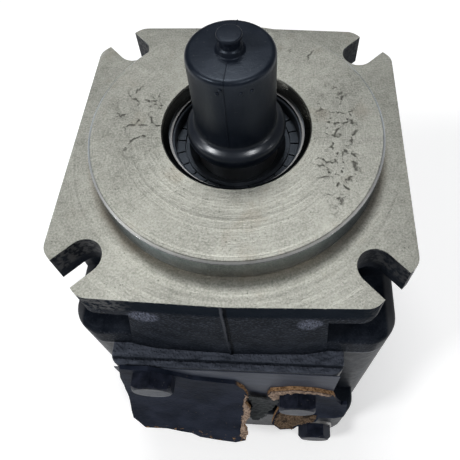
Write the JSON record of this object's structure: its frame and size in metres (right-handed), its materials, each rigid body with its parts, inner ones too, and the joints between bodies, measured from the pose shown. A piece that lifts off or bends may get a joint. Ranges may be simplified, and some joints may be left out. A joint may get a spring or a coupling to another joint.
{
  "type": "hydraulic pump",
  "caption": "Flange-mounted hydraulic pump with a splined shaft under a rubber cap, a side suction port under a torn cover board, and an internal gear set.",
  "frame": {"origin": "on the shaft axis, in the mounting face of the flange", "axes": "+Z along the shaft towards its outer end, -Y towards the suction port, +X to the right of someone who looks at that port"},
  "size_m": [0.149, 0.1869, 0.258],
  "materials": {
    "black_paint": "semi-gloss enamel over cast iron, machined bright on the flange face",
    "hardened_steel": "ground",
    "plain_steel": "fine turned",
    "bronze": "turned",
    "seal_rubber": "matt",
    "grey_seal": "moulded, matt",
    "cap_rubber": "satin",
    "cover_board": "fibre board painted over, brown where torn",
    "black_screw": "enamel, worn bright at the head's edge",
    "socket_screw": "black oxide",
    "copper": "soft annealed"
  },
  "bodies": {
    "housing": {"front_cover": "black_paint", "gear_housing": "black_paint", "rear_cover": "black_paint", "crescent_inner": "hardened_steel", "crescent_outer": "hardened_steel", "crescent_pin": "plain_steel", "front_side_plate": "bronze", "rear_side_plate": "bronze", "front_bushing": "bronze", "rear_bushing": "bronze", "front_o_ring": "seal_rubber", "rear_o_ring": "seal_rubber", "front_plate_seal": "seal_rubber", "rear_plate_seal": "seal_rubber", "front_dowels": "plain_steel", "rear_dowels": "plain_steel", "housing_bolts": "socket_screw", "shaft_seal": "grey_seal", "seal_spring": "plain_steel", "seal_retaining_ring": "plain_steel", "port_blanking_sheet": "black_paint", "port_cover_board": "cover_board", "port_cover_scrap": "cover_board", "port_cover_bolts": "black_screw", "gauge_plug": "black_screw", "gauge_plug_ring": "copper"},
    "drive_shaft": {"pinion_shaft": "hardened_steel"},
    "ring": {"ring_gear": "hardened_steel"},
    "cap": {"shaft_cap": "cap_rubber"}
  },
  "joints": [
    {"name": "shaft_spin", "type": "hinge", "parent": "housing", "child": "drive_shaft", "pos_m": [0, 0, 0], "axis": [0, 0, 1], "continuous": true},
    {"name": "ring_gear_spin", "type": "hinge", "parent": "housing", "child": "ring", "pos_m": [-0.0105, 0, 0], "axis": [0, 0, 1], "continuous": true},
    {"name": "shaft_cap_pull", "type": "slide", "parent": "drive_shaft", "child": "cap", "axis": [0, 0, 1], "range_m": [0, 0.06]}
  ],
  "couplings": [
    {"joint": "ring_gear_spin", "follows": "shaft_spin", "ratio": 0.68421}
  ]
}
